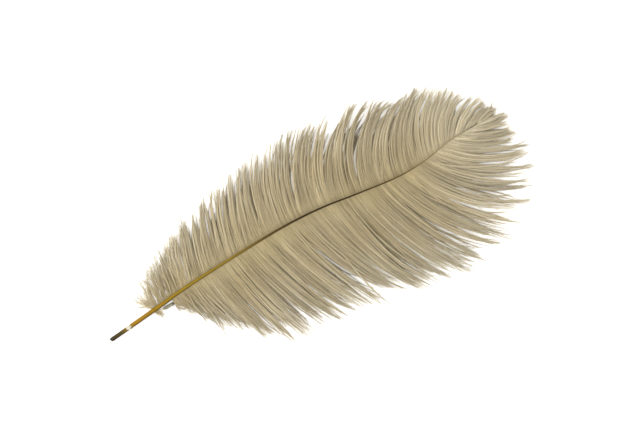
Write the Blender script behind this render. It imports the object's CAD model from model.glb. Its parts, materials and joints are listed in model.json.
"""An ostrich plume on a pale surface: quill, shaft, sheath remains, down, and every barb with barbules."""

import json
import math

import bmesh
import bpy
import numpy as np
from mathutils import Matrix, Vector

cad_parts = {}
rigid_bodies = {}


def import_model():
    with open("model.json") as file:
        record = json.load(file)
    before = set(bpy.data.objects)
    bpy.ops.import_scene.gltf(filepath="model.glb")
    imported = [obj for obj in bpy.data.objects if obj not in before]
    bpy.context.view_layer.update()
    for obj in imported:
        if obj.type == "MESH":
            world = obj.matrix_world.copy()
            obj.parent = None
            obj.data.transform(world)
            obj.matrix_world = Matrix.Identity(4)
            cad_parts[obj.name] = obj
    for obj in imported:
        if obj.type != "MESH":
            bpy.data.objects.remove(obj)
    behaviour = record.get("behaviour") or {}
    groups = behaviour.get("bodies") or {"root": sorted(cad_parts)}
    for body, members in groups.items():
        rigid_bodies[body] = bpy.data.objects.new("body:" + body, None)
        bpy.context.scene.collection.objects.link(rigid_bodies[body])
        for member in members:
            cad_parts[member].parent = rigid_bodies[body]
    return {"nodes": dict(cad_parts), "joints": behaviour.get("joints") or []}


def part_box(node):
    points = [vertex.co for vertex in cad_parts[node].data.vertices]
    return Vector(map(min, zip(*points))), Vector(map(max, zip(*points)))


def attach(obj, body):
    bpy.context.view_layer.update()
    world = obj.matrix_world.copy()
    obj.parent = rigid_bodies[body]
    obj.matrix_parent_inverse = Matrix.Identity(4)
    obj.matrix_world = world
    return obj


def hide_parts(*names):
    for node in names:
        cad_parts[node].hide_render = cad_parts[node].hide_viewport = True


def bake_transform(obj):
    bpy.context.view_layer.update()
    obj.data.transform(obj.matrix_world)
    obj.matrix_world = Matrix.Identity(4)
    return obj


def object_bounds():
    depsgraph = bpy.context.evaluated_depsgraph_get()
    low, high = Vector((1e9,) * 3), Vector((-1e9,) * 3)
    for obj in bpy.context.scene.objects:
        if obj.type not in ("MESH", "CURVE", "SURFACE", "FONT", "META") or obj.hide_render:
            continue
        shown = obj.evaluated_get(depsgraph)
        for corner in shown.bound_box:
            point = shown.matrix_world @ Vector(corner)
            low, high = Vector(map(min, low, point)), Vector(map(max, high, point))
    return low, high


MM = 0.001
SEED = 41
UPRIGHT = np.array([0.0, 0.0, 1.0])
PLUME_MIDDLE = Vector((0.18, -0.02, 0))

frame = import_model()
cad_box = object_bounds()
QUILL = [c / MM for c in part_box("quill")[1]]
FLOOR_Z = cad_box[0].z / MM

# ------------------------------------------------------------ the plume's sizes, in millimetres and degrees
SHAFT_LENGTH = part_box("shaft_end")[1].x / MM
QUILL_LENGTH = QUILL[0]
QUILL_R = QUILL[1]
END_R = 1.65
BORE_R, BORE_DEPTH, HOLLOW_R, PLUG = 1.05, 14.0, 1.3, 3.0
SHAFT_END_R = 0.25
SWAY, ARCH = 25.0, 8.0
CROWN = 5.0
TIP_HALF_T = 0.6
RIGHT_SETBACK = 16.0
LEFT_BARB, RIGHT_BARB = 72.0, 90.0
FLEX_X = [j["pos_m"][0] / MM for j in frame["joints"]]
FLEX_BODIES = [(j["parent"], j["child"]) for j in frame["joints"]]
BEND_BEFORE, BEND_AFTER = 15.0, 35.0

# Share of the shaft's length, share of the sway or the arch
SWAY_SHAPE = [(0, 0), (0.13, 0), (0.2, 0.01), (0.28, -0.02), (0.4, -0.1), (0.5, -0.2), (0.59, -0.38),
              (0.68, -0.66), (0.78, -0.94), (0.85, -1), (0.93, -0.94), (1, -1)]
ARCH_SHAPE = [(0, 0), (0.13, 0), (0.35, 0.6), (0.6, 1), (0.8, 0.85), (1, 0.45)]
# Share of the stretch past the quill, share of the way down to the end's size
TAPER_SHAPE = [(0, 0), (0.25, 0.34), (0.5, 0.6), (0.75, 0.8), (1, 1)]
# Share of the vane, angle at the root, turn towards the tip, share of the longest barb
LEFT_SHAPE = [(0, 78, 4, 0.3), (0.04, 76, 5, 0.42), (0.09, 76, 14, 0.53), (0.18, 78, 18, 0.65),
              (0.32, 84, 32, 0.78), (0.5, 90, 54, 0.9), (0.66, 92, 74, 0.95), (0.76, 86, 76, 0.88),
              (0.84, 74, 66, 0.72), (0.91, 58, 60, 0.52), (1, 20, 30, 0.26)]
RIGHT_SHAPE = [(0, 80, 8, 0.18), (0.07, 84, 10, 0.48), (0.13, 84, 14, 0.7), (0.19, 84, 18, 0.84),
               (0.36, 78, 25, 0.91), (0.52, 76, 32, 1.0), (0.67, 74, 42, 1.03), (0.77, 70, 48, 0.98),
               (0.84, 64, 48, 0.82), (0.91, 50, 40, 0.57), (1, 14, 16, 0.22)]

# ------------------------------------------------------------ how fine the strands are
BARB_PITCH = 0.36
BARB_STEPS = 12
BARB_R = 0.13
FELT_HALF_WIDTH = 0.92
FELT_HALF_T = 0.05
WEB_STRANDS = 10
WEB_STEPS = 5
WEB_R = 0.07
BARBULES_PER_MM = 3.2
BARBULE_LENGTH = 3.0
BARBULE_R = 0.055
LANES = 5
LANE_TONE = 0.05
TUFT_BARB_R = 0.07
TUFT_WEB_STRANDS = 3
TUFT_BARBULES_PER_MM = 4.0
TUFT_BARBULE_LENGTH = 1.8

# ------------------------------------------------------------ how the barbs cling (mm, degrees, shares)
CLUMP_WIDTHS = (2.2, 5.0)
LOCK_WIDTHS = (8, 17)
LOCK_TURN, CLUMP_TURN, BARB_TURN = 0.9, 1.25, 1.2
STRAY_SHARE, STRAY_TURN = 0.06, 6
UNDER_SHARE = 0.36
LONGEST_SHARE = 1.09
BEND_SIZE = 1.3
FOOT_TURN, FOOT_WAVE = 6.5, 1.5
FOOT_LENGTH = 45
PER_STRETCH = 5
TIP_BARBS = 46

# ------------------------------------------------------------ sheath, in millimetres
RING_T = 0.12
LEAF_T = 0.16
LEAF_HALF_WIDTH = 1.6


# ------------------------------------------------------------ camera, floor and light
def make_camera():
    """A long lens straight above, turned so that the quill points down to the left."""
    seen_width, lens, sensor = 486.4, 135.0, 36.0
    data = bpy.data.cameras.new("camera")
    data.lens = lens
    data.sensor_width = sensor
    data.clip_end = 20
    cam = bpy.data.objects.new("camera", data)
    bpy.context.scene.collection.objects.link(cam)
    cam.location = Vector((186.0, -11.9, seen_width * lens / sensor)) * MM
    cam.rotation_euler = (0, 0, math.radians(-35))
    bpy.context.scene.camera = cam


def make_area_light(name, place, size, power):
    data = bpy.data.lights.new(name, "AREA")
    data.shape = "DISK"
    data.size = size
    data.energy = power
    lamp = bpy.data.objects.new(name, data)
    bpy.context.scene.collection.objects.link(lamp)
    lamp.location = place
    lamp.rotation_euler = (PLUME_MIDDLE - lamp.location).to_track_quat("-Z", "Y").to_euler()


def make_world():
    world = bpy.data.worlds.new("studio")
    bpy.context.scene.world = world
    world.use_nodes = True
    back = world.node_tree.nodes["Background"]
    back.inputs["Color"].default_value = (1, 1, 1, 1)
    back.inputs["Strength"].default_value = 0.78


def make_floor():
    bm = bmesh.new()
    bmesh.ops.create_grid(bm, x_segments=1, y_segments=1, size=2.5)
    bmesh.ops.translate(bm, vec=(0.18, 0, FLOOR_Z * MM), verts=bm.verts)
    finish_mesh("floor", bm, white_paper(), rounded=False)


# ------------------------------------------------------------ material helpers
def srgb(r, g, b):
    """A colour given in 0 to 255 display values, as the linear values that shaders use."""
    shares = [c / 255 for c in (r, g, b)]
    return tuple(c / 12.92 if c < 0.0404 else ((c + 0.055) / 1.055) ** 2.4 for c in shares) + (1.0,)


class Shader:
    """Short names for the nodes that the finishes are made of."""

    def __init__(self, name, roughness, **sockets):
        self.material = bpy.data.materials.new(name)
        self.material.use_nodes = True
        self.tree = self.material.node_tree
        self.skin = self.tree.nodes["Principled BSDF"]
        self.skin.inputs["Roughness"].default_value = roughness
        for socket, value in sockets.items():
            self.skin.inputs[socket.replace("_", " ")].default_value = value

    def node(self, kind, **values):
        made = self.tree.nodes.new(kind)
        for key, value in values.items():
            setattr(made, key, value)
        return made

    def feed(self, socket, value):
        if isinstance(value, bpy.types.NodeSocket):
            self.tree.links.new(value, socket)
        else:
            socket.default_value = value

    def place(self, scale=(1, 1, 1)):
        """Object coordinates, stretched."""
        mapping = self.node("ShaderNodeMapping")
        mapping.inputs["Scale"].default_value = scale
        self.feed(mapping.inputs["Vector"], self.node("ShaderNodeTexCoord").outputs["Object"])
        return mapping.outputs["Vector"]

    def part(self, vector, axis):
        split = self.node("ShaderNodeSeparateXYZ")
        self.feed(split.inputs[0], vector)
        return split.outputs[axis]

    def attribute(self, name):
        return self.node("ShaderNodeAttribute", attribute_name=name).outputs["Fac"]

    def noise(self, vector, scale, detail=2.0):
        made = self.node("ShaderNodeTexNoise")
        made.inputs["Scale"].default_value = scale
        made.inputs["Detail"].default_value = detail
        self.feed(made.inputs["Vector"], vector)
        return made.outputs["Fac"]

    def span(self, value, low, high, out_low=0.0, out_high=1.0, smooth=True):
        made = self.node("ShaderNodeMapRange", interpolation_type="SMOOTHSTEP" if smooth else "LINEAR")
        self.feed(made.inputs["Value"], value)
        ends = {"From Min": low, "From Max": high, "To Min": out_low, "To Max": out_high}
        for socket, number in ends.items():
            made.inputs[socket].default_value = number
        return made.outputs["Result"]

    def sum(self, a, b, kind="ADD"):
        made = self.node("ShaderNodeMath", operation=kind)
        self.feed(made.inputs[0], a)
        self.feed(made.inputs[1], b)
        return made.outputs[0]

    def ramp(self, value, stops):
        made = self.node("ShaderNodeValToRGB")
        ends = made.color_ramp.elements
        for element, (at, colour) in zip(ends, (stops[0], stops[-1])):
            element.position, element.color = at, colour
        for at, colour in stops[1:-1]:
            ends.new(at).color = colour
        self.feed(made.inputs["Fac"], value)
        return made.outputs["Color"]

    def mix(self, factor, a, b, kind="MIX"):
        made = self.node("ShaderNodeMix", data_type="RGBA", blend_type=kind)
        self.feed(made.inputs[0], factor)
        self.feed(made.inputs[6], a)
        self.feed(made.inputs[7], b)
        return made.outputs[2]

    def bump(self, height, depth):
        made = self.node("ShaderNodeBump")
        made.inputs["Strength"].default_value = 1.0
        made.inputs["Distance"].default_value = depth
        self.feed(made.inputs["Height"], height)
        self.feed(self.skin.inputs["Normal"], made.outputs["Normal"])

    def paint(self, colour):
        self.feed(self.skin.inputs["Base Color"], colour)
        return self.material


# ------------------------------------------------------------ finishes
def white_paper():
    s = Shader("white_paper", 0.9, Emission_Strength=0.45, Emission_Color=(1, 1, 1, 1))
    return s.paint((0.93, 0.93, 0.93, 1))


def barb_down():
    """Soft beige barbs: each with its own tone, warmer at the root, paler and greyer at the tip."""
    s = Shader("barb_down", 0.62, Sheen_Weight=0.25, Sheen_Roughness=0.5, Specular_IOR_Level=0.3)
    s.skin.inputs["Sheen Tint"].default_value = srgb(236, 226, 204)
    length = s.ramp(s.attribute("along"), [
        (0.0, srgb(194, 177, 135)), (0.12, srgb(212, 196, 156)), (0.5, srgb(229, 215, 181)),
        (1.0, srgb(236, 227, 202))])
    patches = s.span(s.noise(s.place((1, 1, 0.3)), 26.0), 0.35, 0.7, 0.0, 0.35)
    cloudy = s.mix(patches, length, srgb(204, 184, 136))
    paler = s.span(s.part(s.place(), 0), 0.25, 0.34, 0.0, 0.75)
    faded = s.mix(paler, cloudy, srgb(248, 238, 212))
    tone = s.ramp(s.attribute("tone"), [
        (0.0, (0.44, 0.41, 0.36, 1)), (0.25, (0.74, 0.72, 0.68, 1)), (0.5, (1.0, 1.0, 0.99, 1)),
        (1.0, (1.2, 1.2, 1.19, 1))])
    return s.paint(s.mix(1.0, faded, tone, "MULTIPLY"))


def horn():
    """Quill and shaft: olive at the cut end, then amber, dark brown and pale, and darker down one flank."""
    s = Shader("horn", 0.45, Coat_Weight=0.05, Coat_Roughness=0.3, Specular_IOR_Level=0.2)
    place = s.place()
    far = SHAFT_LENGTH * MM
    along = s.span(s.part(place, 0), 0.0, far, smooth=False)
    wander = s.span(s.noise(s.place((30, 300, 300)), 1.0, 3.0), 0.2, 0.8, -0.004, 0.004)
    base = s.ramp(s.sum(along, wander), [
        (0.0, srgb(150, 144, 104)), (0.005, srgb(46, 38, 14)), (0.033, srgb(76, 68, 24)),
        (0.0475, srgb(146, 112, 24)), (0.066, srgb(166, 121, 2)), (0.2, srgb(156, 127, 10)),
        (0.34, srgb(146, 121, 34)), (0.44, srgb(92, 70, 22)), (0.52, srgb(42, 30, 6)),
        (0.68, srgb(42, 30, 6)), (0.76, srgb(78, 60, 26)), (0.85, srgb(136, 116, 74)),
        (1.0, srgb(192, 174, 134))])
    streaks = s.span(s.noise(s.place((60, 2600, 2600)), 1.0, 4.0), 0.3, 0.75, 0.0, 0.45)
    streaked = s.mix(streaks, base, srgb(84, 62, 22))
    flank = s.span(s.attribute("facing"), -0.3, -0.85, 0.0, 1.0)
    near = s.span(s.part(place, 0), 0.1, 0.2, 0.8, 0.2)
    two_toned = s.mix(s.sum(flank, near, "MULTIPLY"), streaked, srgb(48, 34, 10))
    centre = s.node("ShaderNodeVectorMath", operation="LENGTH")
    s.feed(centre.inputs[0], s.place((0, 1, 1)))
    hollow = s.span(centre.outputs["Value"], 0.0011, 0.00125, 1.0, 0.0)
    mouth = s.span(s.part(place, 0), 0.024, 0.028, 1.0, 0.0)
    finished = s.mix(s.sum(hollow, mouth, "MULTIPLY"), two_toned, srgb(38, 32, 18))
    s.bump(s.noise(s.place((200, 5000, 5000)), 1.0, 3.0), 0.00006)
    return s.paint(finished)


def dry_sheath():
    """Grey flakes of dry sheath with a dark end."""
    s = Shader("dry_sheath", 0.75)
    grain = s.noise(s.place((300, 1800, 1800)), 1.0, 4.0)
    s.bump(grain, 0.0001)
    dry = s.ramp(grain, [(0.3, srgb(96, 92, 72)), (0.5, srgb(152, 148, 124)), (0.7, srgb(192, 188, 166))])
    dark_end = s.span(s.part(s.place(), 0), 0.0535, 0.0565, 0.0, 0.9)
    return s.paint(s.mix(dark_end, dry, srgb(40, 38, 30)))


def chalky():
    """Whitish torn sheath and pith."""
    s = Shader("chalky", 0.85)
    grain = s.noise(s.place((500, 900, 900)), 1.0, 4.0)
    s.bump(grain, 0.00008)
    return s.paint(s.ramp(grain, [
        (0.3, srgb(160, 150, 112)), (0.55, srgb(214, 208, 184)), (0.75, srgb(238, 234, 220))]))


# ------------------------------------------------------------ meshes
def show(name, mesh, material, rounded=True):
    """An object for a finished mesh, in one material."""
    mesh.materials.append(material)
    mesh.polygons.foreach_set("use_smooth", np.full(len(mesh.polygons), rounded))
    piece = bpy.data.objects.new(name, mesh)
    bpy.context.scene.collection.objects.link(piece)
    return piece


def finish_mesh(name, bm, material, rounded=True):
    mesh = bpy.data.meshes.new(name)
    bm.to_mesh(mesh)
    bm.free()
    return show(name, mesh, material, rounded)


def mark_facing(piece):
    """Each corner of a horn piece keeps how far its surface faces along y, from -1 to 1."""
    mesh = piece.data
    mesh.update()
    normals = np.zeros(len(mesh.vertices) * 3, np.float32)
    mesh.vertex_normals.foreach_get("vector", normals)
    mesh.attributes.new("facing", "FLOAT", "POINT").data.foreach_set("value", normals[1::3].copy())


def to_metres(bm):
    bmesh.ops.recalc_face_normals(bm, faces=bm.faces)
    bmesh.ops.scale(bm, vec=(MM, MM, MM), verts=bm.verts)


def spun(outline, steps):
    """A shell spun about the quill's axis from (place along the axis, radius) points."""
    bm = bmesh.new()
    points = [bm.verts.new((x, 0, r)) for x, r in outline]
    lines = [bm.edges.new(pair) for pair in zip(points[:-1], points[1:])]
    bmesh.ops.spin(bm, geom=points + lines, cent=(0, 0, 0), axis=(1, 0, 0), angle=2 * math.pi,
                   steps=steps, use_merge=True)
    bmesh.ops.remove_doubles(bm, verts=bm.verts, dist=1e-4)
    bmesh.ops.recalc_face_normals(bm, faces=bm.faces)
    return bm


def fast_to_quill(piece, node):
    """A piece that stands for one node and never moves against the quill."""
    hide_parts(node)
    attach(piece, "lower")


def rod_template(steps, sides, pointed=False):
    """A closed rod of radius 1 from z = 0 to 1, cut across into equal steps, or a spike."""
    bm = bmesh.new()
    bmesh.ops.create_cone(bm, cap_ends=True, cap_tris=False, segments=sides, radius1=1,
                          radius2=0 if pointed else 1, depth=1)
    bmesh.ops.translate(bm, vec=(0, 0, 0.5), verts=bm.verts)
    bmesh.ops.remove_doubles(bm, verts=bm.verts, dist=1e-6)
    for k in range(1, steps):
        bmesh.ops.bisect_plane(bm, geom=bm.verts[:] + bm.edges[:] + bm.faces[:], dist=1e-7,
                               plane_co=(0, 0, k / steps), plane_no=(0, 0, 1))
    bmesh.ops.recalc_face_normals(bm, faces=bm.faces)
    mesh = bpy.data.meshes.new("template")
    bm.to_mesh(mesh)
    bm.free()
    return mesh


def many(template, count):
    """A mesh that holds count copies of a template, one after another."""
    holder = bpy.data.objects.new("holder", template)
    bpy.context.scene.collection.objects.link(holder)
    row = holder.modifiers.new("row", "ARRAY")
    row.count = count
    row.use_relative_offset = False
    made = bpy.data.meshes.new_from_object(holder.evaluated_get(bpy.context.evaluated_depsgraph_get()))
    bpy.data.objects.remove(holder)
    return made


def corners(template):
    """The template's own corners, one row for each."""
    co = np.zeros(len(template.vertices) * 3, np.float32)
    template.vertices.foreach_get("co", co)
    return co.reshape(-1, 3).astype(float)


def unit(v):
    return v / np.maximum(np.linalg.norm(v, axis=-1, keepdims=True), 1e-9)


def frames(lines):
    """Direction along each line, and two directions across it, the first as level as it can be."""
    along = unit(np.gradient(lines, axis=1))
    side = unit(np.cross(UPRIGHT, along))
    return along, side, np.cross(along, side)


def lay_rods(template, lines, radius, height=None, tilt=0.0):
    """Corner places of one rod along each line. lines is (rods, points, 3), radius is (rods, points).

    With a height the rod is a band that is 2 x radius wide, and tilt turns that band about its line.
    """
    own = corners(template)
    ring = np.rint(own[:, 2] * (lines.shape[1] - 1)).astype(int)
    _, side, up = frames(lines)
    lean = np.reshape(tilt, (-1, 1, 1))
    across = side * np.cos(lean) + up * np.sin(lean)
    over = up * np.cos(lean) - side * np.sin(lean)
    r = radius[:, ring, None]
    h = r if height is None else height
    return lines[:, ring] + r * own[None, :, 0:1] * across[:, ring] + h * own[None, :, 1:2] * over[:, ring]


def lay_spikes(template, roots, ends, radius):
    """Corner places of one straight spike from each root to its end."""
    own = corners(template)
    along = unit(ends - roots)
    side = unit(np.cross(UPRIGHT, along))
    up = np.cross(along, side)
    return (roots[:, None] + own[None, :, 2:3] * (ends - roots)[:, None]
            + radius * (own[None, :, 0:1] * side[:, None] + own[None, :, 1:2] * up[:, None]))


def strand_piece(name, parts):
    """One piece from several sets of copies.

    A part is (template, places, tone, along, strip): places in millimetres, and for each corner its tone,
    its share of the barb's length and its place across the bake map.
    """
    bm = bmesh.new()
    for template, places, *_ in parts:
        copies = many(template, len(places))
        bm.from_mesh(copies)
        bpy.data.meshes.remove(copies)
    piece = finish_mesh(name, bm, BARB_FINISH)
    mesh = piece.data
    places, tone, along, strip = [
        np.concatenate([np.asarray(part[k], np.float32).reshape(-1, width) for part in parts])
        for k, width in ((1, 3), (2, 1), (3, 1), (4, 1))]
    mesh.vertices.foreach_set("co", (places * MM).astype(np.float32).ravel())
    for key, values in (("tone", tone), ("along", along)):
        mesh.attributes.new(key, "FLOAT", "POINT").data.foreach_set("value", values.ravel())
    loops = np.zeros(len(mesh.loops), np.int32)
    mesh.loops.foreach_get("vertex_index", loops)
    uv = np.concatenate([strip, np.clip(along, 0.004, 0.996)], axis=1)[loops]
    mesh.uv_layers.new(name="OFBake").data.foreach_set("uv", uv.astype(np.float32).ravel())
    mesh.update()
    return piece


# ------------------------------------------------------------ the plume's lines
def smooth(table, x, column=1):
    """A smooth curve through one column of a table whose first column grows."""
    rows = np.array(table, float)
    px, py = rows[:, 0], rows[:, column]
    index = np.arange(len(px))
    before, after = np.maximum(index - 1, 0), np.minimum(index + 1, len(px) - 1)
    slope = (py[after] - py[before]) / (px[after] - px[before])
    x = np.clip(np.asarray(x, float), px[0], px[-1])
    i = np.clip(np.searchsorted(px, x, side="right") - 1, 0, len(px) - 2)
    w = px[i + 1] - px[i]
    k = (x - px[i]) / w
    return ((2 * k**3 - 3 * k**2 + 1) * py[i] + (3 * k**2 - 2 * k**3) * py[i + 1]
            + (k**3 - 2 * k**2 + k) * w * slope[i] + (k**3 - k**2) * w * slope[i + 1])


def shaft_y(x):
    return SWAY * smooth(SWAY_SHAPE, x / SHAFT_LENGTH)


def shaft_z(x):
    return ARCH * smooth(ARCH_SHAPE, x / SHAFT_LENGTH)


def shaft_r(x):
    share = (x - QUILL_LENGTH) / (SHAFT_LENGTH - QUILL_LENGTH)
    return QUILL_R + (SHAFT_END_R - QUILL_R) * smooth(TAPER_SHAPE, share)


def heading(x):
    """Which way the shaft points at x, seen from above."""
    return np.arctan2(shaft_y(x + 1) - shaft_y(x - 1), 2)


def barb_lines(x, side, angle=0.0, length=1.0, lift=0.0, steps=BARB_STEPS):
    """Each barb's line from its root at x on the shaft: angle turns it, length scales it, lift raises it."""
    shape, longest = (LEFT_SHAPE, LEFT_BARB) if side > 0 else (RIGHT_SHAPE, RIGHT_BARB)
    start = QUILL_LENGTH + (0 if side > 0 else RIGHT_SETBACK)
    u = (x - start) / (SHAFT_LENGTH - start)
    gone = (np.arange(steps) + 0.5) / steps
    turn = smooth(shape, u, 2)[:, None] * gone**1.2
    lean = smooth(shape, u, 1)[:, None] + np.reshape(angle, (-1, 1)) - turn
    way = heading(x)[:, None] + side * np.radians(lean)
    step = (longest * smooth(shape, u, 3) * length)[:, None] / steps
    root = side * shaft_r(x) * 0.7
    first = np.stack([x - root * np.sin(heading(x)), shaft_y(x) + root * np.cos(heading(x))], axis=-1)
    moves = np.stack([step * np.cos(way), step * np.sin(way)], axis=-1)
    flat = np.concatenate([first[:, None], first[:, None] + np.cumsum(moves, axis=1)], axis=1)
    t = np.linspace(0, 1, steps + 1)[None]
    z0 = shaft_z(x)[:, None]
    z = (z0 + CROWN * np.sin(np.pi * t) * (1 - t) + (FLOOR_Z + TIP_HALF_T - z0) * t**1.6
         + 0.5 * shaft_r(x)[:, None] * np.maximum(1 - 6 * t, 0)
         + np.reshape(lift, (-1, 1)) * np.minimum(4 * t, 1))
    return np.concatenate([flat, z[..., None]], axis=-1)


def reach(lines):
    """How long each line is."""
    return np.linalg.norm(np.diff(lines, axis=1), axis=-1).sum(axis=1)


def sample(lines, rod, t):
    """Place and direction on line number rod at the share t of its points."""
    steps = lines.shape[1] - 1
    at = np.clip(t, 0, 0.9999) * steps
    k = at.astype(int)
    a, b = lines[rod, k], lines[rod, k + 1]
    return a + (b - a) * (at - k)[..., None], unit(b - a)


def keep_up(lines, margin):
    """No point goes under the surface that the plume lies on."""
    lines[..., 2] = np.maximum(lines[..., 2], FLOOR_Z + margin)
    return lines


def steps_of(rng, low, high, start, end):
    """Edges of stretches of random width that fill start to end."""
    edges = [start]
    while edges[-1] < end:
        edges.append(edges[-1] + rng.uniform(low, high))
    return np.array(edges)


def foot_share(x):
    """1 where the vane starts on the quill, 0 where its barbs lie straight."""
    return np.clip(1 - (x - QUILL_LENGTH) / FOOT_LENGTH, 0, 1)


def clump_guides(side, start, rng):
    """Edges and middles of the clumps, what each one's barbs share, and a guide line for each."""
    clumps = steps_of(rng, *CLUMP_WIDTHS, start - 1, SHAFT_LENGTH + 1)
    locks = steps_of(rng, *LOCK_WIDTHS, start - 1, SHAFT_LENGTH + 1)
    centre = np.clip((clumps[:-1] + clumps[1:]) / 2, start, SHAFT_LENGTH)
    count = len(centre)
    lock_of = np.searchsorted(locks, centre) - 1
    lock_angle = rng.normal(0, LOCK_TURN, len(locks))
    lock_length = rng.normal(1, 0.03, len(locks))
    angle = rng.normal(0, CLUMP_TURN, count) + lock_angle[lock_of]
    length = rng.normal(1.03, 0.05, count) * lock_length[lock_of]
    lift = rng.normal(0, 0.5, count)
    tone = rng.normal(0, 0.07, count)
    guides = barb_lines(centre, side, angle, length * 1.12, lift, steps=BARB_STEPS * 2)
    u = np.linspace(0, 1, BARB_STEPS * 2 + 1)[None]
    bend = rng.normal(0, BEND_SIZE, count)[:, None] * u**2
    swings = rng.uniform(1.2, 2.4, count)[:, None] * u + rng.random(count)[:, None]
    bend = bend * np.sin(np.pi * swings)
    guides = guides + bend[..., None] * frames(guides)[1]
    return clumps, centre, (angle, length, lift, tone), guides


def vane_lines(side, rng):
    """Root, line and tone of every barb on one side: clumps inside wider locks, over barbs that lie free."""
    start = QUILL_LENGTH + (-1.0 if side > 0 else RIGHT_SETBACK - 2.0)
    x = np.arange(start, SHAFT_LENGTH, BARB_PITCH)
    n = len(x)
    x = x + rng.uniform(-0.4, 0.4, n) * BARB_PITCH
    far = np.clip((x - 110) / 130, 0, 1)
    fluff = foot_share(x)
    clumps, centre, shared, guides = clump_guides(side, start, rng)
    clump = np.searchsorted(clumps, x) - 1
    clump_angle, clump_length, clump_lift, clump_tone = [values[clump] for values in shared]
    within = (x - centre[clump]) / (clumps[clump + 1] - clumps[clump]) * 2
    crest = 1 - np.clip(np.abs(within), 0, 1) ** 1.5

    stray = rng.random(n) < STRAY_SHARE
    under = rng.random(n) < UNDER_SHARE
    angle = clump_angle * np.where(under, 0.3, 1)
    angle = angle + rng.normal(0, BARB_TURN, n) * (1 + FOOT_TURN * fluff)
    angle = angle + np.where(stray, rng.normal(0, STRAY_TURN, n), 0)
    ragged = 0.045 + 0.04 * (1 - far)
    length = np.minimum(clump_length * (1 + ragged * rng.normal(-0.3, 1, n)), LONGEST_SHARE)
    length = length * np.where(under, rng.uniform(0.66, 0.98, n), 1)
    lift = clump_lift + rng.normal(0, 0.3, n) + np.where(under, -0.6, 0.6 * crest)
    lines = barb_lines(x, side, angle, length, lift)
    t = np.linspace(0, 1, BARB_STEPS + 1)[None]
    led, _ = sample(guides, clump[:, None], t * (reach(lines) / reach(guides)[clump])[:, None])
    free = np.where(stray, 0.1, 0.1 + (0.5 if side < 0 else 0.2) * far)
    grip = np.where(stray | under, free, rng.uniform(0.46, 0.7, n) + 0.28 * far) * (1 - 0.6 * fluff)
    begin = np.where(under, 0.6, 0.42 - 0.1 * far)[:, None]
    pull = grip[:, None] * np.clip((t - begin) / (1 - begin), 0, 1) ** 1.3
    lines = lines + pull[..., None] * (led - lines)

    size = (rng.uniform(0.1, 0.5, n) + FOOT_WAVE * fluff)[:, None] * t
    turns = (rng.uniform(0.8, 2.6, n) - 0.6 * fluff)[:, None]
    wave = size * np.sin(2 * np.pi * (t * turns + rng.random(n)[:, None]))
    flick = rng.normal(0, 0.8, n)[:, None] * t**6 * 2.0
    lines = lines + (wave + flick)[..., None] * frames(lines)[1]
    tone = 0.46 + clump_tone + rng.normal(0, 0.07, n) + np.where(under, -0.08, 0.1 * crest)
    return x, keep_up(lines, 0.12), np.clip(tone, 0, 1)


def lane_of(rng, count):
    """Which of its barb's lanes on the bake map each strand takes, and what that adds to its tone."""
    lane = rng.integers(1, LANES, count)
    return lane, (lane - LANES / 2) * LANE_TONE


def lane_place(template, barbs, barb, lane):
    """Place across the bake map of each corner of each strand."""
    return ((barb + (lane + 0.5) / LANES)[:, None] + 0.3 / LANES * corners(template)[None, :, 0]) / barbs


def whole_barb(template, places, tone):
    """A part whose strands run the whole length of one barb each."""
    own = corners(template)
    count = len(places)
    along = np.repeat(own[None, :, 2], count, axis=0)
    strip = lane_place(template, count, np.arange(count), np.zeros(count))
    return template, places, np.repeat(tone, len(own)), along, strip


def small_strands(template, places, tone, barb, lane, share, barbs):
    """A part whose strands are many to a barb. share is where each corner is along its barb."""
    strip = lane_place(template, barbs, barb, lane)
    return template, places, np.repeat(tone, len(template.vertices)), share, strip


def barb_parts(lines, tone, template, radius=BARB_R):
    """The barbs' own thin stems."""
    t = np.linspace(0, 1, lines.shape[1])
    thinning = radius * (1 - 0.7 * t[None] ** 1.5) * np.ones((len(lines), 1))
    return whole_barb(template, lay_rods(template, lines, thinning), tone)


def felt_parts(lines, tone, rng, template):
    """A thin band of matted down that lies along each barb, a little below it, and tapers to the tip."""
    count = len(lines)
    t = np.linspace(0, 1, lines.shape[1])[None]
    wide = rng.uniform(0.7, 1.3, count) * (1 - 0.6 * foot_share(lines[:, 0, 0]))
    half = FELT_HALF_WIDTH * wide[:, None] * (0.5 + 0.5 * np.clip(t / 0.15, 0, 1)) * (1 - 0.94 * t**3.5)
    path = lines.copy()
    path[..., 2] -= 0.4 * np.minimum(1, 6 * t)
    tilt = np.radians(rng.normal(0, 9, count))
    places = keep_up(lay_rods(template, keep_up(path, 0.08), half, FELT_HALF_T, tilt), 0.02)
    return whole_barb(template, places, tone - 0.1)


def web_parts(lines, tone, rng, per_barb, template):
    """Long barbules swept along each barb: they leave it, drift aside and fill the vane out."""
    count = per_barb * len(lines)
    barb = np.tile(np.arange(len(lines)), per_barb)
    begin = rng.uniform(0, 0.72, count)[:, None]
    end = np.minimum(begin + rng.uniform(0.25, 0.5, count)[:, None], 1.0)
    u = np.linspace(0, 1, WEB_STEPS + 1)[None]
    path, along = sample(lines, barb[:, None], begin + (end - begin) * u)
    drift = rng.normal(0, 0.8, count)[:, None] * (1 - 0.7 * end**4) * u**1.2
    rise = rng.normal(0.05, 0.3, count)[:, None] * u
    path = path + drift[..., None] * unit(np.cross(UPRIGHT, along))
    path[..., 2] += rise
    radius = WEB_R * (1 - 0.7 * u**2) * np.ones((count, 1))
    places = lay_rods(template, keep_up(path, 0.05), radius)
    lane, shade = lane_of(rng, count)
    share = begin + (end - begin) * corners(template)[None, :, 2]
    return small_strands(template, places, tone[barb] + shade, barb, lane, share, len(lines))


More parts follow.
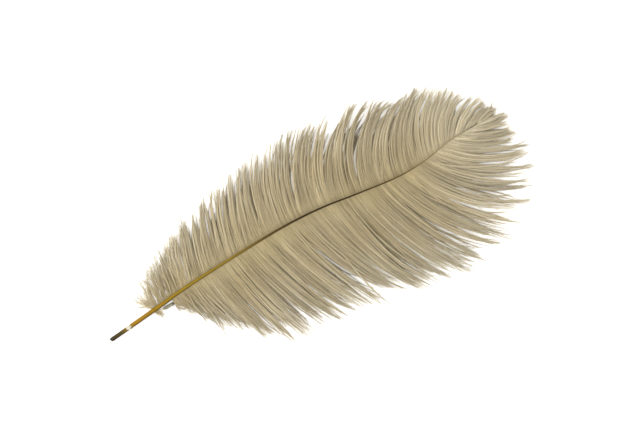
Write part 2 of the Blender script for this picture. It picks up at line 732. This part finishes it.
def barbule_parts(lines, tone, rng, per_mm, longest, template):
    """Barbules on both sides of each barb, short by the shaft, and leaning towards the barb's tip."""
    lengths = reach(lines)
    count = int(lengths.sum() * per_mm)
    barb = rng.choice(len(lines), count, p=lengths / lengths.sum())
    t = rng.random(count) ** 0.9
    root, along = sample(lines, barb, t)
    side = unit(np.cross(UPRIGHT, along)) * rng.choice([-1, 1], count)[:, None]
    lean = np.radians(rng.normal(27, 9, count))[:, None]
    away = along * np.cos(lean) + side * np.sin(lean)
    away[:, 2] += rng.normal(0.06, 0.2, count)
    size = longest * np.clip(t / 0.3, 0.25, 1) * rng.uniform(0.55, 1.25, count) * (1 - 0.35 * t**3)
    ends = keep_up(root + unit(away) * size[:, None], 0.03)
    places = lay_spikes(template, root, ends, BARBULE_R)
    own = corners(template)
    lane, shade = lane_of(rng, count)
    share = np.clip(t[:, None] + 0.02 * own[None, :, 2] - 0.008 * own[None, :, 1], 0, 1)
    return small_strands(template, places, tone[barb] + shade, barb, lane, share, len(lines))


def lock_piece(name, lines, tone, rng):
    """One lock with its barbs and barbules."""
    parts = [barb_parts(lines, tone, BARB_ROD), felt_parts(lines, tone, rng, BARB_ROD),
             web_parts(lines, tone, rng, WEB_STRANDS, WEB_ROD),
             barbule_parts(lines, tone, rng, BARBULES_PER_MM, BARBULE_LENGTH, SPIKE)]
    return strand_piece(name, parts)


def join_to_frame(piece, first, last, far, slot, *nodes):
    """A piece bends where its roots, or else its tips, cross a flexing place, or rides on its own body."""
    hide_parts(*nodes)
    zones = [(x - BEND_BEFORE, x + BEND_AFTER) for x in FLEX_X]
    crossed = [k for k, (a, b) in enumerate(zones) if first < b and last > a]
    crossed = crossed or [k for k, (a, b) in enumerate(zones) if last <= a < far]
    if crossed:
        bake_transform(piece)
    else:
        bodies = [FLEX_BODIES[0][0]] + [child for _, child in FLEX_BODIES]
        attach(piece, bodies[int(np.searchsorted(FLEX_X, (first + last) / 2))])


def make_vane(side, prefix, rng):
    """All barbs of one side, cut into one piece for each lock of the frame."""
    x, lines, tone = vane_lines(side, rng)
    names = sorted(n for n in frame["nodes"] if n.startswith(prefix))
    starts = lock_starts(side, len(names))
    for name, low, high in zip(names, [0] + starts[1:], starts[1:] + [SHAFT_LENGTH + 5]):
        mine = (x >= low) & (x < high)
        piece = lock_piece(name + "_barbs", lines[mine], tone[mine], rng)
        join_to_frame(piece, x[mine].min(), x[mine].max(), lines[mine][..., 0].max(), "barbs", name)


def lock_starts(side, count):
    """Where each lock's barbs begin along the shaft, with as many locks on each stretch but the first."""
    first = count - PER_STRETCH * len(FLEX_X)
    ends = [QUILL_LENGTH + (0 if side > 0 else RIGHT_SETBACK)] + FLEX_X + [SHAFT_LENGTH]
    starts = []
    for k, (a, b) in enumerate(zip(ends[:-1], ends[1:])):
        pieces = first if k == 0 else PER_STRETCH
        starts += [a + (b - a) * j / pieces for j in range(pieces)]
    return starts


def make_tip_lock(rng):
    """The last barbs fan out past the shaft's end."""
    x = np.full(TIP_BARBS, SHAFT_LENGTH - 0.3)
    both = []
    for side in (1, -1):
        angle = rng.uniform(-22, 3, TIP_BARBS)
        length = rng.uniform(0.65, 1.0, TIP_BARBS)
        both.append(barb_lines(x, side, angle, length, rng.normal(0, 0.4, TIP_BARBS)))
    odd = np.arange(TIP_BARBS) % 2 == 1
    lines = np.where(odd[:, None, None], both[0], both[1])
    tone = np.clip(rng.normal(0.62, 0.1, TIP_BARBS), 0, 1)
    piece = lock_piece("tip_lock_barbs", keep_up(lines, 0.12), tone, rng)
    join_to_frame(piece, SHAFT_LENGTH, SHAFT_LENGTH, lines[..., 0].max(), "barbs", "tip_lock")


# ------------------------------------------------------------ quill and shaft
def rod_piece(name, line, radius, sides, material, section=None):
    """One rod along a line, with a radius at each point, and a section that may depend on the angle."""
    template = rod_template(len(line) - 1, sides)
    own = corners(template)
    angle = np.arctan2(own[:, 1], own[:, 0])
    places = lay_rods(template, line[None], radius[None])[0]
    if section is not None:
        ring = np.rint(own[:, 2] * (len(line) - 1)).astype(int)
        grown = np.clip((line[ring, 0] - QUILL_LENGTH) / 14, 0, 1)
        places = line[ring] + (places - line[ring]) * (0.99 + grown * (section(angle) - 0.99))[:, None]
    template.vertices.foreach_set("co", (places * MM).astype(np.float32).ravel())
    template.name = name
    return show(name, template, material)


def shaft_section(angle):
    """Nearly round, with a ridge on top and a groove below."""
    ridge = 0.06 * np.exp(-(((angle - math.pi / 2) / 0.5) ** 2))
    groove = 0.22 * np.exp(-(((angle + math.pi / 2) / 0.35) ** 2))
    return 1 + ridge - groove


def make_shaft():
    """Shell and pith in three lengths, each across one flexing place."""
    cuts = [QUILL_LENGTH - 0.6] + [x + BEND_AFTER for x in FLEX_X[:-1]] + [SHAFT_LENGTH]
    stretches = ["lower", "middle", "upper", "end"]
    for k, (a, b) in enumerate(zip(cuts[:-1], cuts[1:])):
        x = np.linspace(a, b, 90)
        line = np.stack([x, shaft_y(x), shaft_z(x)], axis=-1)
        nodes = [stretches[k]] + (["end"] if k == len(cuts) - 2 else [])
        shell = rod_piece(f"shaft_shell_{stretches[k]}", line, shaft_r(x), 20, HORN_FINISH, shaft_section)
        mark_facing(shell)
        join_to_frame(shell, a + 1, FLEX_X[k] + 1, b, "shaft_horn", *["shaft_" + n for n in nodes])
        core = rod_piece(f"pith_core_{stretches[k]}", line[1:-1], shaft_r(x[1:-1]) * 0.6, 10, CHALK_FINISH)
        join_to_frame(core, a + 1, FLEX_X[k] + 1, b, "pith", *["pith_" + n for n in nodes])


def make_quill():
    """The hollow quill, spun from its wall's outline, with an uneven, slightly slanting cut."""
    collar_from, collar_to = [corner.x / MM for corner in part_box("sheath_collar")]
    step = (QUILL_R - END_R) / (collar_to - collar_from)
    outline = [(QUILL_LENGTH, 0.0), (QUILL_LENGTH, QUILL_R * 0.995)]
    outline += [(x, QUILL_R) for x in np.arange(collar_to + 1.5, QUILL_LENGTH - 1, 1.5)[::-1]]
    outline += [(x, END_R + step * (x - collar_from)) for x in (collar_to, collar_from)]
    outline += [(x, END_R) for x in np.arange(2, collar_from, 2.0)[::-1]]
    outline += [(0.4, END_R), (0.1, END_R - 0.07), (0, (BORE_R + END_R) / 2), (0.12, BORE_R + 0.08)]
    outline += [(x, BORE_R) for x in (0.5, 3, 8, BORE_DEPTH)]
    outline += [(x, HOLLOW_R) for x in (BORE_DEPTH + 0.6, BORE_DEPTH + 9, QUILL_LENGTH - PLUG)]
    bm = spun(outline + [(QUILL_LENGTH - PLUG, 0.0)], 40)
    for v in bm.verts:
        x, a = v.co.x, math.atan2(v.co.z, v.co.y)
        slant = 0.8 + 0.9 * math.cos(a - 1.9) + 0.1 * math.sin(5 * a) + 0.06 * math.sin(9 * a + 1)
        v.co.x += max(0.0, 1 - x / 4) * slant
        if math.hypot(v.co.y, v.co.z) > HOLLOW_R + 0.1:
            swell = 1 + 0.012 * math.sin(0.55 * v.co.x + 2 * a) + 0.008 * math.sin(1.7 * v.co.x + 3 * a)
            v.co.y *= swell
            v.co.z *= swell
    to_metres(bm)
    wall = finish_mesh("quill_wall", bm, HORN_FINISH)
    mark_facing(wall)
    fast_to_quill(wall, "quill")


def make_collar():
    """A torn, papery ring of sheath with ragged ends."""
    low, high = [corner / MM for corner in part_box("sheath_collar")]
    inner = high.y - RING_T
    bm = spun([(x, inner) for x in np.linspace(low.x, high.x, 7)], 56)
    for v in bm.verts:
        a = math.atan2(v.co.z, v.co.y)
        t = (v.co.x - low.x) / (high.x - low.x)
        torn = 0.8 * math.sin(a + 0.9) + 0.4 * math.sin(4 * a + 1.3) + 0.35 * math.sin(11 * a + 0.4)
        v.co.x += torn * (t - 0.3) * 1.7
        lift = 1 + 0.06 * max(0.0, math.sin(6 * a + 5 * t)) * abs(t - 0.5) * 2
        core = (END_R + (QUILL_R - END_R) * t + RING_T) / inner
        v.co.y *= lift * core
        v.co.z *= lift * core
    bmesh.ops.solidify(bm, geom=bm.faces[:], thickness=RING_T)
    to_metres(bm)
    fast_to_quill(finish_mesh("sheath_ring", bm, CHALK_FINISH), "sheath_collar")


def make_flake():
    """A curled leaf of dry sheath that peels away from the shaft."""
    low, high = [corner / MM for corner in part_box("sheath_flake")]
    bm = bmesh.new()
    bmesh.ops.create_grid(bm, x_segments=24, y_segments=6, size=0.5)
    for v in bm.verts:
        t, w = v.co.x + 0.5, v.co.y * 2
        round_ends = math.sin(math.pi * min(1, t * 0.93 + 0.07)) ** 0.6
        half = LEAF_HALF_WIDTH * round_ends * (1 + 0.15 * math.sin(9 * t))
        y = (low.y + high.y) / 2 + 0.3 - 1.2 * t + w * half
        z = 1.1 * w * w * half + 0.5 * math.sin(2.6 * t) + 0.15 * math.sin(12 * t + 2 * w) - 0.4
        v.co = Vector((low.x + 0.6 + (high.x - low.x) * t, y, z))
    bmesh.ops.solidify(bm, geom=bm.faces[:], thickness=LEAF_T)
    to_metres(bm)
    fast_to_quill(finish_mesh("sheath_leaf", bm, SHEATH_FINISH), "sheath_flake")


def make_tuft(name, side, angle, spread, reach_mm, count, rng):
    """Down at the foot of the vane: limp, curling strands."""
    steps = 10
    x = QUILL_LENGTH - 1.5 + rng.uniform(-1.2, 1.5, count)
    way = np.radians(rng.normal(angle, spread, count))[:, None]
    curl = np.radians(rng.normal(0, 30, count))[:, None]
    gone = (np.arange(steps) + 0.5)[None] / steps
    turn = side * (way + curl * gone**1.5)
    step = reach_mm * rng.uniform(0.45, 1.1, count)[:, None] / steps
    first = np.stack([x, side * 0.8 * QUILL_R * np.ones(count)], axis=-1)[:, None]
    moves = np.stack([step * np.cos(turn), step * np.sin(turn)], axis=-1)
    flat = np.concatenate([first, first + np.cumsum(moves, axis=1)], axis=1)
    t = np.linspace(0, 1, steps + 1)[None]
    z = 0.3 + (FLOOR_Z + 0.5) * t**0.7 + rng.uniform(0, 1.6, count)[:, None] * np.sin(np.pi * t) * t
    lines = keep_up(np.concatenate([flat, z[..., None]], axis=-1), 0.1)
    tone = np.clip(rng.normal(0.62, 0.15, count), 0, 1)
    parts = [barb_parts(lines, tone, rod_template(steps, 3), TUFT_BARB_R),
             web_parts(lines, tone, rng, TUFT_WEB_STRANDS, WEB_ROD),
             barbule_parts(lines, tone, rng, TUFT_BARBULES_PER_MM, TUFT_BARBULE_LENGTH, SPIKE)]
    fast_to_quill(strand_piece(name + "_strands", parts), name)


# ------------------------------------------------------------ making it
bpy.context.scene.view_settings.view_transform = "Standard"
make_camera()
make_world()
make_floor()
make_area_light("key", Vector((-0.7, 0.85, 1.2)), 0.8, 14)
make_area_light("fill", Vector((0.9, -0.8, 1.4)), 1.4, 4)

BARB_FINISH = barb_down()
HORN_FINISH = horn()
SHEATH_FINISH = dry_sheath()
CHALK_FINISH = chalky()
BARB_ROD = rod_template(BARB_STEPS, 3)
WEB_ROD = rod_template(WEB_STEPS, 3)
SPIKE = rod_template(1, 3, pointed=True)

make_quill()
make_shaft()
make_collar()
make_flake()
make_tuft("down_tuft_left", 1, 106, 19, 18, 38, np.random.default_rng(SEED + 2))
make_tuft("down_tuft_right", -1, 46, 18, 8, 34, np.random.default_rng(SEED + 3))
make_vane(1, "left_lock", np.random.default_rng(SEED + 4))
make_vane(-1, "right_lock", np.random.default_rng(SEED + 5))
make_tip_lock(np.random.default_rng(SEED + 6))
frame["nodes"]["pulp_caps"].data.materials.clear()
frame["nodes"]["pulp_caps"].data.materials.append(CHALK_FINISH)
